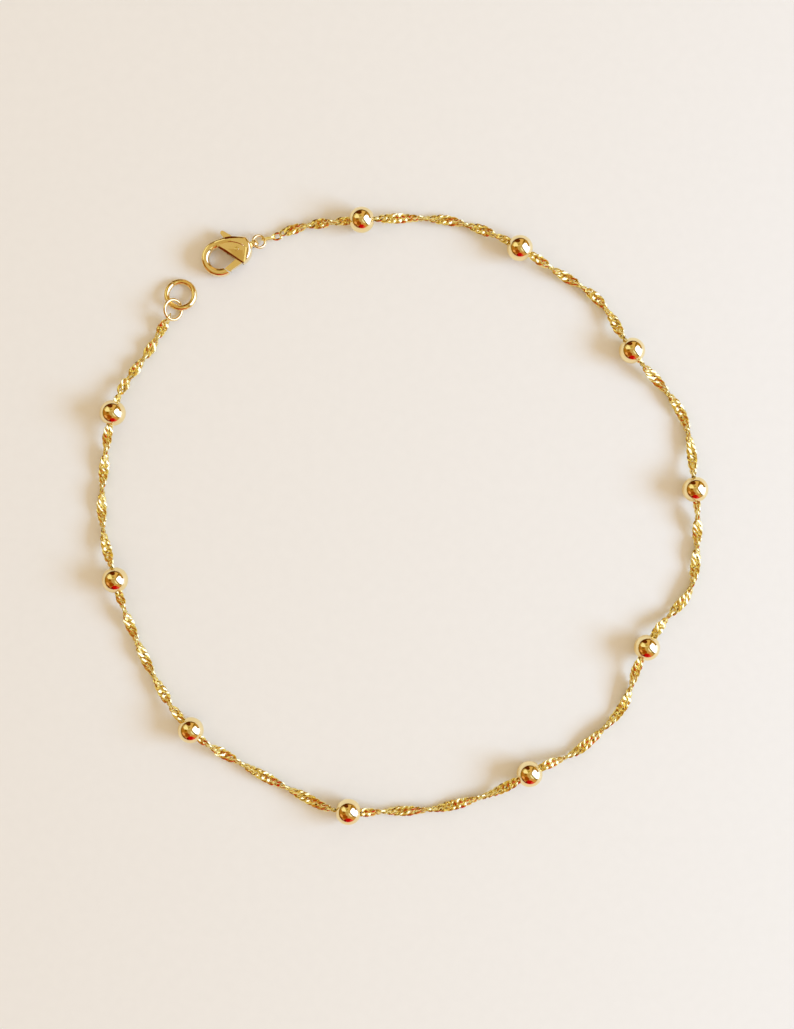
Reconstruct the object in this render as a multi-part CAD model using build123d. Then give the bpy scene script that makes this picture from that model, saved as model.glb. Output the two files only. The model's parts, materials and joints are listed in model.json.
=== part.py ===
from build123d import *
import math
import os

# Chain anklet, lying open on a flat surface: a twisted curb chain threaded through ten
# drilled ball beads, with a catch ring at one end and a lobster clasp at the other.
# Millimetres. +Z is up, the surface is z = 0, and the origin is the middle of the loop.
# The chain is built as a round tube: its width is the mean of the twisting links' flat
# faces, 1.4 mm across, and their edges, 0.8 mm.

# ---- Driving dimensions -------------------------------------------------------------
CHAIN_DIAMETER = 1.1
CHAIN_LYING_Z = 0.72           # centre height of the chain where it lies on the surface

BEAD_DIAMETER = 3.5
BEAD_HOLE_CLEARANCE = 0.11     # radial gap between a bead's hole and the chain
BEAD_HALF_RUN = 2.4            # straight stretch of chain each side of a bead's centre

CATCH_RING_RADIUS = 1.84       # to the middle of the wire, as for every ring here
CATCH_RING_WIRE = 0.76
CATCH_RING_SEAM = 0.05         # the hairline where the ring's ends butt together
CATCH_RING_SEAM_ANGLE = -120   # from the point that leans on the end link, in degrees
END_LINK_RADIUS = 1.35
END_LINK_WIRE = 0.42
END_LINK_TILT = 43.0           # how far its left side is lifted, in degrees
CLASP_RING_RADIUS = 0.82
CLASP_RING_WIRE = 0.38
CLASP_RING_TILT = 18.8         # how far it slopes down from the clasp, in degrees

CLASP_THICKNESS = 2.2
CLASP_MID_Z = CLASP_THICKNESS / 2
NOSE_THICKNESS = 1.7
NOSE_OUTER_RADIUS = 2.4
NOSE_HOLE_RADIUS = 1.42
NOSE_CENTRE = (-2.65, 0.05)    # in the clasp's own plan, whose origin is the pivot
NOSE_ROOT_ANGLE = 55.0         # where the hook leaves the cheeks, from +X
NOSE_SWEEP = 235.0             # how far the hook runs round, before its end is cut
BACK_RADIUS = 7.2              # the long arc of the clasp's back
BELLY_CENTRE = (-0.13, 0.07)
BELLY_RADIUS = 2.12            # the round rear and lower edge of the cheeks
CHEEK_RIM = 0.3                # width of the rim between the belly and the sunken flat
FRONT_EDGE = ((-2.18, 1.39), (0.01, -2.3))    # the slanting front of the cheeks
ROOT_LEFT, ROOT_LOW = -2.2, 0.85              # how far they reach in under the hook's root
FLAT_CENTRE = (-1.83, -1.68)
FLAT_RADIUS = 3.4              # the arc of the sunken flat along the back
CHEEK_RECESS = 0.2
CLASP_EDGE_ROUND = 0.3
SLOT_HEIGHT = 0.92             # the slot between the cheeks that the lever turns in
SLOT_LEFT, SLOT_RIGHT = -1.6, 1.35
LEVER_THICKNESS = 0.8
LEVER_HUB_RADIUS = 0.75
GATE_OUTLINE = [
    (-3.4, -2.1), (-2.35, -2.5), (-1.9, -1.98), (-0.4, -1.72), (0.7, -0.3), (-0.7, -0.25)]
TAB_OUTLINE = [
    (-0.75, 0.1), (0.75, 0.1), (0.2, 2.09), (-0.38, 3.1), (-0.62, 3.24), (-0.9, 3.18),
    (-1.06, 2.93), (-0.9, 2.3)]
GATE_REACH = 3.06              # from the pivot to the gate's curved end
GATE_GAP = 0.08                # between the gate's end and the nose's
PIN_RADIUS = 0.28
PIN_RUNNING_GAP = 0.05         # radial, in the lever
PIN_SEAT_GAP = 0.02            # radial, in the cheeks
PIN_PROUD = 0.03               # how far each end stands above the cheek's flat
EYE_X, EYE_Y = 2.35, -0.27
EYE_RADIUS = 0.62
EYE_WIDTH = 0.8
EYE_HOLE_RADIUS = 0.38

# ---- Where the pieces lie -----------------------------------------------------------
CLASP_PIVOT = (-22.2, 35.84)
CLASP_HEADING = 27.4           # from nose to eye, in degrees from +X
CATCH_RING_CENTRE = (-29.93, 29.86)
CATCH_RING_TILT = 10.0         # it leans on the end link
END_LINK_CENTRE = (-30.86, 27.8)
END_LINK_HEADING = 260.8       # of its long axis, towards the chain

# Each bead's centre and the heading of its hole, counted from the catch ring's end.
BEADS = [
    (-38.9, 13.8, -106), (-38.6, -8.7, -74), (-28.4, -28.9, -46), (-7.2, -39.9, -4),
    (17.2, -34.8, 30), (33.0, -17.8, 60.5), (39.5, 3.5, 97), (31.0, 22.2, 125),
    (15.9, 36.0, 149), (-5.4, 39.8, 184),
]

# The chain's route along the surface: the points of each span between two beads, from
# the end link to the clasp. The first point is the chain's free end at the end link.
CHAIN_START = (-31.2, 25.9, 1.05)
CHAIN_END = (-18.25, 37.62, CHAIN_LYING_Z)
SPANS = [
    [(-33.2, 24.1), (-35.0, 21.4), (-37.1, 18.9)],
    [(-40.1, 8.1), (-40.7, 2.4), (-40.4, -2.6)],
    [(-37.0, -14.4), (-34.6, -19.8), (-32.4, -23.9)],
    [(-23.9, -32.6), (-18.5, -35.9), (-12.9, -38.3)],
    [(-1.4, -39.8), (3.9, -39.7), (8.7, -38.7), (12.0, -37.4)],
    [(22.6, -32.2), (26.6, -29.1), (29.7, -25.6), (30.8, -23.1)],
    [(36.2, -13.2), (38.1, -10.2), (39.6, -5.6), (39.9, -2.2)],
    [(39.2, 9.3), (38.0, 14.0), (34.9, 17.9)],
    [(28.2, 27.3), (25.7, 30.2), (21.0, 32.9)],
    [(10.8, 38.7), (6.1, 40.1), (0.5, 40.2)],
    [(-11.2, 39.5), (-14.9, 38.9)],
]


# ---- Helpers ------------------------------------------------------------------------
def write(node, shape):
    """Writes one piece to parts/ under its node's name."""
    shape.label = node
    export_step(shape, f"parts/{node}.step")


def heading_vector(degrees):
    """The unit vector in plan that points along a heading."""
    return Vector(math.cos(math.radians(degrees)), math.sin(math.radians(degrees)), 0)


def torus(ring_radius, wire):
    """A round ring of round wire, flat at the origin."""
    return Torus(ring_radius, wire / 2)


def arc_radii(points):
    """The fillet radius at each inner point: 0.45 of its shorter run over tan(half turn)."""
    radii = []
    for before, here, after in zip(points, points[1:], points[2:]):
        run_in = here - before
        run_out = after - here
        half_turn = math.radians(run_in.get_angle(run_out)) / 2
        radii.append(0.45 * min(run_in.length, run_out.length) / math.tan(half_turn))
    return radii


# ---- Chain and beads ----------------------------------------------------------------
def chain_points():
    """The chain's route: level through each bead, down on the surface between them."""
    points = [Vector(*CHAIN_START)]
    for span, bead in zip(SPANS, BEADS + [None]):
        points += [Vector(x, y, CHAIN_LYING_Z) for x, y in span]
        if bead:
            x, y, heading = bead
            centre = Vector(x, y, BEAD_DIAMETER / 2)
            along = heading_vector(heading) * BEAD_HALF_RUN
            points += [centre - along, centre + along]
    points.append(Vector(*CHAIN_END))
    return points


def make_chain():
    """The round tube along the route, of straight runs joined by tangent arcs."""
    points = chain_points()
    radii = arc_radii(points)
    print("chain arc radii", [round(radius, 1) for radius in radii])
    path = FilletPolyline(*points, radius=radii)
    section = Plane(origin=path @ 0, z_dir=path % 0) * Circle(CHAIN_DIAMETER / 2)
    tube = sweep(section, path=path)
    expected = math.pi * CHAIN_DIAMETER**2 / 4 * path.length
    print("chain length", round(path.length, 1), "volume", tube.volume, "expected", expected)
    return tube


def make_bead(x, y, heading):
    """A ball resting on the surface, drilled level along its heading."""
    hole = Cylinder(CHAIN_DIAMETER / 2 + BEAD_HOLE_CLEARANCE, 2 * BEAD_DIAMETER)
    ball = Sphere(BEAD_DIAMETER / 2) - Rot(0, 90, 0) * hole
    return Pos(x, y, BEAD_DIAMETER / 2) * Rot(0, 0, heading) * ball


# ---- Rings --------------------------------------------------------------------------
def make_catch_ring():
    """The large ring that the clasp hooks, leaning on the end link, with its butted seam."""
    seam_width = 2 * CATCH_RING_WIRE
    seam = Pos(CATCH_RING_RADIUS, 0, 0) * Box(seam_width, CATCH_RING_SEAM, seam_width)
    to_link = Vector(*END_LINK_CENTRE) - Vector(*CATCH_RING_CENTRE)
    toward_link = math.degrees(math.atan2(to_link.Y, to_link.X))
    ring = torus(CATCH_RING_RADIUS, CATCH_RING_WIRE) - Rot(0, 0, CATCH_RING_SEAM_ANGLE) * seam
    lift = CATCH_RING_RADIUS * math.sin(math.radians(CATCH_RING_TILT))
    centre_z = CATCH_RING_WIRE / 2 + lift
    return (Pos(*CATCH_RING_CENTRE, centre_z) * Rot(0, 0, toward_link)
            * Rot(0, -CATCH_RING_TILT, 0) * ring)


def make_end_link():
    """The thin ring between the catch ring and the chain, its left side lifted."""
    lift = END_LINK_RADIUS * math.sin(math.radians(END_LINK_TILT))
    centre_z = END_LINK_WIRE / 2 + lift
    return (Pos(*END_LINK_CENTRE, centre_z) * Rot(0, 0, END_LINK_HEADING)
            * Rot(-END_LINK_TILT, 0, 0) * torus(END_LINK_RADIUS, END_LINK_WIRE))


def make_clasp_ring():
    """The small ring through the clasp's eye, sloping down to the chain."""
    slope = Rot(0, CLASP_RING_TILT, 0)
    ring = Pos(CLASP_RING_RADIUS, 0, 0) * torus(CLASP_RING_RADIUS, CLASP_RING_WIRE)
    return in_clasp(Pos(EYE_X, EYE_Y, CLASP_MID_Z) * slope * ring)


# ---- Clasp --------------------------------------------------------------------------
def in_clasp(shape):
    """Places a shape that is drawn with the pivot at the origin, nose towards -X."""
    return Pos(*CLASP_PIVOT, 0) * Rot(0, 0, CLASP_HEADING) * shape


def slab(face, thickness):
    """A plan face given a thickness about the clasp's middle height."""
    return extrude(Pos(0, 0, CLASP_MID_Z) * face, thickness / 2, both=True)


def across_clasp(radius, length):
    """A round bar across the clasp, level, through the eye's middle."""
    return Pos(EYE_X, EYE_Y, CLASP_MID_Z) * Rot(90, 0, 0) * Cylinder(radius, length)


def front_cut():
    """What the cheeks leave open in plan: the claw's hole and all before the slanting edge."""
    hole = Pos(*NOSE_CENTRE) * Circle(NOSE_HOLE_RADIUS)
    top, foot = FRONT_EDGE
    left = NOSE_CENTRE[0]
    return hole + Polygon(top, foot, (left, foot[1]), (left, top[1]), align=None)


def cheek_face():
    """The plan of one cheek: under the back's long arc, round behind and below."""
    nose_x, nose_y = NOSE_CENTRE
    back = Pos(nose_x, nose_y + NOSE_OUTER_RADIUS - BACK_RADIUS) * Circle(BACK_RADIUS)
    belly = Pos(*BELLY_CENTRE) * Circle(BELLY_RADIUS)
    root = Pos(ROOT_LEFT, ROOT_LOW) * Rectangle(-ROOT_LEFT, BELLY_RADIUS, align=Align.MIN)
    return back & (belly + root) - front_cut()


def flat_face():
    """The plan of the sunken flat on each cheek, open at the slanting edge."""
    under_back = Pos(*FLAT_CENTRE) * Circle(FLAT_RADIUS)
    in_belly = Pos(*BELLY_CENTRE) * Circle(BELLY_RADIUS - CHEEK_RIM)
    return under_back & in_belly - front_cut()


def on_outline(edge):
    """Whether an edge of the cheeks' slab lies along the back or the belly, top or bottom."""
    if edge.geom_type != GeomType.CIRCLE or abs(edge.center().Z - CLASP_MID_Z) < CLASP_MID_Z / 2:
        return False
    return any(math.isclose(edge.radius, radius) for radius in (BACK_RADIUS, BELLY_RADIUS))


def make_nose():
    """The hook: a rounded section turned round the claw's hole, cut off where the gate meets it."""
    width = NOSE_OUTER_RADIUS - NOSE_HOLE_RADIUS
    section = Plane.XZ * Pos(NOSE_HOLE_RADIUS + width / 2, 0) * RectangleRounded(
        width, NOSE_THICKNESS, CLASP_EDGE_ROUND)
    hook = Rot(0, 0, NOSE_ROOT_ANGLE) * revolve(section, Axis.Z, NOSE_SWEEP)
    reach = 3 * NOSE_OUTER_RADIUS
    gate_side = Box(2 * reach, reach, reach, align=(Align.CENTER, Align.MAX, Align.CENTER))
    mouth = Cylinder(GATE_REACH + GATE_GAP, 2 * CLASP_THICKNESS) & gate_side
    return Pos(0, 0, CLASP_MID_Z) * (Pos(*NOSE_CENTRE, 0) * hook - mouth)


def make_clasp_body():
    """Two cheeks joined behind and in front of the slot, the hook and the eye."""
    cheeks = slab(cheek_face(), CLASP_THICKNESS)
    cheeks = fillet(cheeks.edges().filter_by(on_outline), CLASP_EDGE_ROUND)
    lug = across_clasp(EYE_RADIUS, EYE_WIDTH)
    neck = Pos((SLOT_RIGHT + EYE_X) / 2, EYE_Y, CLASP_MID_Z) * Box(
        EYE_X - SLOT_RIGHT, EYE_WIDTH, 2 * EYE_RADIUS)
    body = cheeks + make_nose() + lug + neck
    slot = Pos((SLOT_LEFT + SLOT_RIGHT) / 2, 0, CLASP_MID_Z) * Box(
        SLOT_RIGHT - SLOT_LEFT, 4 * NOSE_OUTER_RADIUS, SLOT_HEIGHT)
    eye_hole = across_clasp(EYE_HOLE_RADIUS, 4 * EYE_WIDTH)
    pin_seat = Pos(0, 0, CLASP_MID_Z) * Cylinder(PIN_RADIUS + PIN_SEAT_GAP, CLASP_THICKNESS)
    between_flats = CLASP_THICKNESS - 2 * CHEEK_RECESS
    recess = slab(flat_face(), 2 * CLASP_THICKNESS) - slab(flat_face(), between_flats)
    return body - slot - eye_hole - pin_seat - recess


def lever_face():
    """The plan of the lever: the gate to the nose, the hub, and the thumb tab behind."""
    gate = Polygon(*GATE_OUTLINE, align=None) & Circle(GATE_REACH)
    tab = Polygon(*TAB_OUTLINE, align=None)
    return gate + tab + Circle(LEVER_HUB_RADIUS)


def make_clasp_lever():
    """The flat lever, drilled for the pin."""
    bore = Cylinder(PIN_RADIUS + PIN_RUNNING_GAP, 2 * LEVER_THICKNESS)
    return slab(lever_face(), LEVER_THICKNESS) - Pos(0, 0, CLASP_MID_Z) * bore


def make_clasp_pin():
    """The rivet that the lever turns on."""
    length = CLASP_THICKNESS - 2 * CHEEK_RECESS + 2 * PIN_PROUD
    return Pos(0, 0, CLASP_MID_Z) * Cylinder(PIN_RADIUS, length)


# ---- The whole anklet ---------------------------------------------------------------
def main():
    """Makes every piece and writes it to its own file."""
    os.makedirs("parts", exist_ok=True)
    write("chain", make_chain())
    for number, bead in enumerate(BEADS, start=1):
        write(f"bead_{number:02d}", make_bead(*bead))
    write("catch_ring", make_catch_ring())
    write("end_link", make_end_link())
    write("clasp_ring", make_clasp_ring())
    write("clasp_body", in_clasp(make_clasp_body()))
    write("clasp_lever", in_clasp(make_clasp_lever()))
    write("clasp_pin", in_clasp(make_clasp_pin()))


main()
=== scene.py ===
"""A gold chain anklet with ten ball beads, lying open at its lobster clasp.

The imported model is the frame: every piece made here stands for one of its nodes and rides on
the same body. Shapes are worked in millimetres and scaled to metres when a piece is finished.
"""

import json
import logging
import math
import random
from abc import ABC, abstractmethod
from bisect import bisect_right
from collections.abc import Callable, Iterable, Sequence
from dataclasses import dataclass, field, replace
from enum import Enum
from functools import cache

import bmesh
import bpy
from bmesh.types import BMEdge, BMFace, BMVert
from mathutils import Matrix, Vector


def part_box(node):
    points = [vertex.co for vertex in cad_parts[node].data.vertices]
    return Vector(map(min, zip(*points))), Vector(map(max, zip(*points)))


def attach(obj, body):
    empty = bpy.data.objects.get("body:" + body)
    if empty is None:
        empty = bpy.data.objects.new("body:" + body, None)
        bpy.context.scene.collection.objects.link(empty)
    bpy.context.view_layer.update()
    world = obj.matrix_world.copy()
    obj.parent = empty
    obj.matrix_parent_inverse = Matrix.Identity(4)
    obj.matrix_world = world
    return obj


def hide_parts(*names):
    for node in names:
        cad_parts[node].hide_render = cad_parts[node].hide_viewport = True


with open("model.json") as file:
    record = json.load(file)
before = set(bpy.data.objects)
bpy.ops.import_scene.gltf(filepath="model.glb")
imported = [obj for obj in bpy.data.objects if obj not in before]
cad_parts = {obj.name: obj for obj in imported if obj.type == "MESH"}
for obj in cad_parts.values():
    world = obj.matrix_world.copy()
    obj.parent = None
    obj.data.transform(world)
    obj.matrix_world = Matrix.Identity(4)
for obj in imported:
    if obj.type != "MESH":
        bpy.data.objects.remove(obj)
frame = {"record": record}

log = logging.getLogger("anklet")

# A millimetre in the frame's metres.
MM = 0.001
# The two sides of the clasp's middle plane.
TOP_AND_BOTTOM = (1.0, -1.0)
# Points nearer than this count as one, in millimetres.
SAME_POINT = 1e-4
# A hair's breadth, in millimetres.
HAIR = 0.01
# The values that most of a noise pattern lies between.
NOISE_MIDDLE = (0.3, 0.7)


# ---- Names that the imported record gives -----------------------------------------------
class Body(Enum):
    """The moving bodies of the anklet."""

    ANKLET = "anklet"
    LEVER = "lever"


class Slot(Enum):
    """The material slots of the record."""

    CHAIN = "bright_cut_gold"
    BEAD = "mirror_gold"
    RING = "gold_wire"
    CLASP = "cast_gold"


# ---- Finishes -------------------------------------------------------------------------
class NodeDesk:
    """Lays out the nodes of one material, or of the world, and wires them up."""

    def __init__(self, owner: bpy.types.Material | bpy.types.World) -> None:
        """Clears the node tree.

        Args:
            owner: the material or the world that the nodes belong to.
        """
        owner.use_nodes = True
        self.tree = owner.node_tree
        self.tree.nodes.clear()

    def add(self, kind: str, **values: object) -> bpy.types.Node:
        """Adds a node and sets its properties.

        Args:
            kind: the node's type, as in ShaderNodeMix.
            values: its properties by name.

        Returns:
            The new node.
        """
        node = self.tree.nodes.new(kind)
        for name, value in values.items():
            setattr(node, name, value)
        return node

    def wire(self, source: bpy.types.NodeSocket, target: bpy.types.NodeSocket) -> None:
        """Links one socket to another."""
        self.tree.links.new(source, target)

    def noise(self, size: float, detail: float = 2.0, stretch: Vector | None = None
              ) -> bpy.types.Node:
        """Adds a noise pattern that is fixed to the piece.

        Args:
            size: the size of its patches, in millimetres.
            detail: how many finer layers it has.
            stretch: how much closer the pattern runs along each axis.

        Returns:
            The noise node.
        """
        place = self.add("ShaderNodeTexCoord")
        mapping = self.add("ShaderNodeMapping")
        mapping.inputs["Scale"].default_value = stretch or Vector((1, 1, 1))
        self.wire(place.outputs["Object"], mapping.inputs["Vector"])
        pattern = self.add("ShaderNodeTexNoise")
        pattern.inputs["Scale"].default_value = 1 / (size * MM)
        pattern.inputs["Detail"].default_value = detail
        self.wire(mapping.outputs["Vector"], pattern.inputs["Vector"])
        return pattern

    def spread(self, pattern: bpy.types.Node, low: float, high: float) -> bpy.types.Node:
        """Maps the middle of a noise pattern's range onto low to high.

        Args:
            pattern: the noise node.
            low: the value in its darkest patches.
            high: the value in its brightest patches.

        Returns:
            The mapping node, whose value is its output Result.
        """
        reach = self.add("ShaderNodeMapRange")
        reach.inputs["From Min"].default_value = NOISE_MIDDLE[0]
        reach.inputs["From Max"].default_value = NOISE_MIDDLE[1]
        reach.inputs["To Min"].default_value = low
        reach.inputs["To Max"].default_value = high
        self.wire(pattern.outputs["Fac"], reach.inputs["Value"])
        return reach

    def mottle(self, pattern: bpy.types.Node, tone: tuple[float, float, float],
               patch_tone: tuple[float, float, float]) -> bpy.types.NodeSocket:
        """Mixes two tones by a noise pattern.

        Args:
            pattern: the noise node.
            tone: the colour of its darkest patches.
            patch_tone: the colour of its brightest patches.

        Returns:
            The socket that gives the mixed colour.
        """
        tones = self.add("ShaderNodeMix", data_type="RGBA")
        tones.inputs["A"].default_value = (*tone, 1.0)
        tones.inputs["B"].default_value = (*patch_tone, 1.0)
        patches = self.spread(pattern, 0.0, 1.0)
        self.wire(patches.outputs["Result"], tones.inputs["Factor"])
        return tones.outputs["Result"]

    def finish(self, surface: bpy.types.NodeSocket, kind: str = "ShaderNodeOutputMaterial"
               ) -> None:
        """Wires a shader to the output.

        Args:
            surface: the shader's socket.
            kind: the output node's type.
        """
        output = self.add(kind)
        self.wire(surface, output.inputs["Surface"])


@dataclass(frozen=True)
class GoldFinish:
    """Gold plate with its tone, polish and fine wear.

    Attributes:
        name: the material's name.
        tone: the colour of the plate.
        deep_tone: the colour of its warmer patches.
        patch: the size of those patches, in millimetres.
        polish: the roughness where it is best polished.
        haze: the roughness where handling has dulled it.
        haze_patch: the size of the dulled patches, in millimetres.
        ripple: the depth of the surface's waviness, in millimetres.
        ripple_size: the size of its waves, in millimetres.
        scratch: the depth of the polishing lines, in millimetres.
        scratch_size: the size of their pattern, in millimetres.
        scratch_run: how much closer that pattern runs along each axis.
    """

    name: str
    tone: tuple[float, float, float]
    deep_tone: tuple[float, float, float]
    patch: float = 2.0
    polish: float = 0.04
    haze: float = 0.10
    haze_patch: float = 0.8
    ripple: float = 0.0
    ripple_size: float = 0.6
    scratch: float = 0.0004
    scratch_size: float = 0.5
    scratch_run: tuple[float, float, float] = (1.0, 14.0, 3.0)

    @cache
    def material(self) -> bpy.types.Material:
        """Makes the material once: tone by patches, polish by haze, ripples and fine lines.

        Returns:
            The material, the same one each time.
        """
        material = bpy.data.materials.new(self.name)
        desk = NodeDesk(material)
        gold = desk.add("ShaderNodeBsdfPrincipled")
        gold.inputs["Metallic"].default_value = 1.0
        tones = desk.mottle(desk.noise(self.patch), self.tone, self.deep_tone)
        desk.wire(tones, gold.inputs["Base Color"])
        haze = desk.spread(desk.noise(self.haze_patch, detail=4.0), self.polish, self.haze)
        desk.wire(haze.outputs["Result"], gold.inputs["Roughness"])
        ripples = desk.add("ShaderNodeBump")
        ripples.inputs["Distance"].default_value = max(self.ripple, 1e-6) * MM
        desk.wire(desk.noise(self.ripple_size).outputs["Fac"], ripples.inputs["Height"])
        lines = desk.add("ShaderNodeBump")
        lines.inputs["Distance"].default_value = self.scratch * MM
        streaks = desk.noise(self.scratch_size, detail=3.0, stretch=Vector(self.scratch_run))
        desk.wire(streaks.outputs["Fac"], lines.inputs["Height"])
        desk.wire(ripples.outputs["Normal"], lines.inputs["Normal"])
        desk.wire(lines.outputs["Normal"], gold.inputs["Normal"])
        desk.finish(gold.outputs["BSDF"])
        return material


MIRROR_GOLD = GoldFinish(
    "mirror_plate", tone=(0.98, 0.83, 0.46), deep_tone=(0.97, 0.80, 0.41),
    patch=3.0, polish=0.02, haze=0.05, haze_patch=1.2, scratch=0.0001)
BRIGHT_CUT_GOLD = GoldFinish(
    "bright_cut_plate", tone=(0.99, 0.86, 0.35), deep_tone=(0.96, 0.79, 0.27),
    patch=1.6, polish=0.15, haze=0.27, haze_patch=0.5, scratch=0.0003)
WIRE_GOLD = GoldFinish(
    "wire_plate", tone=(0.97, 0.79, 0.38), deep_tone=(0.94, 0.73, 0.31),
    patch=1.5, polish=0.04, haze=0.09, ripple=0.004, ripple_size=0.9, scratch=0.0002)
CAST_GOLD = GoldFinish(
    "cast_plate", tone=(0.98, 0.82, 0.44), deep_tone=(0.95, 0.76, 0.36),
    patch=1.8, polish=0.05, haze=0.10, ripple=0.005, ripple_size=0.9, scratch=0.0002)


# ---- The bench ------------------------------------------------------------------------
class Bench:
    """One piece on the bench: a bmesh, and the operations that the pieces share.

    The anklet's pieces are worked in millimetres. What stands round it is worked in metres.
    """

    def __init__(self) -> None:
        """Starts with an empty bmesh."""
        self.bm = bmesh.new()

    def arc(self, centre: Vector, radius: float, start: float, end: float, steps: int) -> None:
        """Draws an arc in plan by turning one vertex about a centre.

        Args:
            centre: the arc's centre.
            radius: its radius.
            start: the angle it starts at, in degrees from +X.
            end: the angle it ends at.
            steps: how many edges it has.
        """
        angle = math.radians(start)
        rim = centre + radius * Vector((math.cos(angle), math.sin(angle), 0))
        vert = bmesh.ops.create_vert(self.bm, co=rim)["vert"][0]
        bmesh.ops.spin(self.bm, geom=[vert], cent=centre, axis=(0, 0, 1), dvec=(0, 0, 0),
                       angle=math.radians(end - start), steps=steps)

    def path(self, points: Iterable[tuple[float, float]]) -> None:
        """Draws a line in plan through the points, by extruding a vertex from one to the next.

        Args:
            points: the line's points.
        """
        points = [Vector((x, y, 0)) for x, y in points]
        vert = bmesh.ops.create_vert(self.bm, co=points[0])["vert"][0]
        for here, there in zip(points, points[1:]):
            grown = bmesh.ops.extrude_vert_indiv(self.bm, verts=[vert])["verts"]
            bmesh.ops.translate(self.bm, verts=grown, vec=there - here)
            vert = grown[0]

    def close(self, weld: float = 0.02) -> BMFace:
        """Welds the drawn arcs and lines into one outline and fills it.

        Args:
            weld: how near two ends are to count as one, in millimetres.

        Returns:
            The plan's face, looking up.
        """
        bmesh.ops.remove_doubles(self.bm, verts=self.bm.verts, dist=weld)
        bmesh.ops.contextual_create(self.bm, geom=self.bm.edges)
        bmesh.ops.recalc_face_normals(self.bm, faces=self.bm.faces)
        face = self.bm.faces[:][0]
        if face.normal.z < 0:
            bmesh.ops.reverse_faces(self.bm, faces=[face])
        return face

    def thicken(self, bottom: float, top: float) -> None:
        """Gives the plan a thickness, from one height to another.

        Args:
            bottom: the height of its underside.
            top: the height of its top.
        """
        bmesh.ops.translate(self.bm, verts=self.bm.verts, vec=(0, 0, bottom))
        grown = bmesh.ops.extrude_face_region(self.bm, geom=self.bm.faces[:])["geom"]
        raised = [part for part in grown if isinstance(part, BMVert)]
        bmesh.ops.translate(self.bm, verts=raised, vec=(0, 0, top - bottom))
        bmesh.ops.recalc_face_normals(self.bm, faces=self.bm.faces)

    def bevel(self, wanted: Callable[[BMEdge], bool], width: float, segments: int
              ) -> None:
        """Rounds the edges that a test picks.

        Args:
            wanted: the test.
            width: how far the rounding reaches to each side.
            segments: how many faces it has across.
        """
        edges = [edge for edge in self.bm.edges if wanted(edge)]
        bmesh.ops.bevel(self.bm, geom=edges, offset=width, offset_type="OFFSET",
                        affect="EDGES", segments=segments, profile=0.5, material=-1)

    def slice(self, through: Vector, facing: Vector) -> None:
        """Cuts every face that crosses a plane in two, and keeps both sides.

        Args:
            through: a point of the plane.
            facing: the plane's direction.
        """
        whole = [*self.bm.verts, *self.bm.edges, *self.bm.faces]
        bmesh.ops.bisect_plane(self.bm, geom=whole, plane_co=through, plane_no=facing)

    def place(self, matrix: Matrix) -> "Bench":
        """Moves the whole piece, and returns the bench."""
        bmesh.ops.transform(self.bm, matrix=matrix, verts=self.bm.verts)
        return self

    def take(self, piece: bpy.types.Object) -> "Bench":
        """Takes an object's mesh onto the bench.

        Args:
            piece: the object, which is used up.

        Returns:
            The bench.
        """
        self.bm.from_mesh(piece.data)
        discard(piece)
        return self

    def object(self, name: str) -> bpy.types.Object:
        """Takes the piece off the bench as an object, in the same unit.

        Args:
            name: the object's name.

        Returns:
            The object.
        """
        mesh = bpy.data.meshes.new(name)
        self.bm.to_mesh(mesh)
        self.bm.free()
        piece = bpy.data.objects.new(name, mesh)
        bpy.context.scene.collection.objects.link(piece)
        return piece


def discard(piece: bpy.types.Object) -> None:
    """Removes an object and its mesh.

    Args:
        piece: the object.
    """
    mesh = piece.data
    bpy.data.objects.remove(piece)
    bpy.data.meshes.remove(mesh)


def sharp(edge: BMEdge, angle: float = 60.0) -> bool:
    """Whether an edge's two faces turn by more than an angle, in degrees."""
    return edge.calc_face_angle(0) > math.radians(angle)


def settled(piece: bpy.types.Object) -> bpy.types.Object:
    """Applies a piece's modifiers to its mesh.

    Args:
        piece: the object with its modifiers.

    Returns:
        The same object, with the result as its mesh and no modifier left.
    """
    graph = bpy.context.evaluated_depsgraph_get()
    result = bpy.data.meshes.new_from_object(piece.evaluated_get(graph))
    rough = piece.data
    piece.modifiers.clear()
    piece.data = result
    bpy.data.meshes.remove(rough)
    return piece


def worked(piece: bpy.types.Object, tool: Bench, operation: str) -> bpy.types.Object:
    """Cuts a shape out of a piece, joins it on, or keeps what lies inside it.

    Args:
        piece: the object to work.
        tool: the shape, which is used up.
        operation: DIFFERENCE to cut, UNION to join, INTERSECT to keep the inside.

    Returns:
        The same object.
    """
    tool_object = tool.object("tool")
    work = piece.modifiers.new("work", "BOOLEAN")
    work.operation = operation
    work.solver = "EXACT"
    work.object = tool_object
    settled(piece)
    discard(tool_object)
    return piece


def round_bar(radius: float, length: float, segments: int = 40) -> Bench:
    """Makes a round bar along Z, centred at the origin.

    Args:
        radius: the bar's radius.
        length: its length.
        segments: how many faces it has round.

    Returns:
        The bench with the bar.
    """
    bar = Bench()
    bmesh.ops.create_cone(bar.bm, cap_ends=True, segments=segments, radius1=radius,
                          radius2=radius, depth=length)
    return bar


def block(low: Vector, high: Vector) -> Bench:
    """Makes a block between two corners.

    Args:
        low: the corner with the smallest coordinates.
        high: the opposite corner.

    Returns:
        The bench with the block.
    """
    made = Bench()
    bmesh.ops.create_cube(made.bm, size=1.0)
    bmesh.ops.scale(made.bm, vec=high - low, verts=made.bm.verts)
    bmesh.ops.translate(made.bm, vec=(low + high) / 2, verts=made.bm.verts)
    return made


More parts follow.
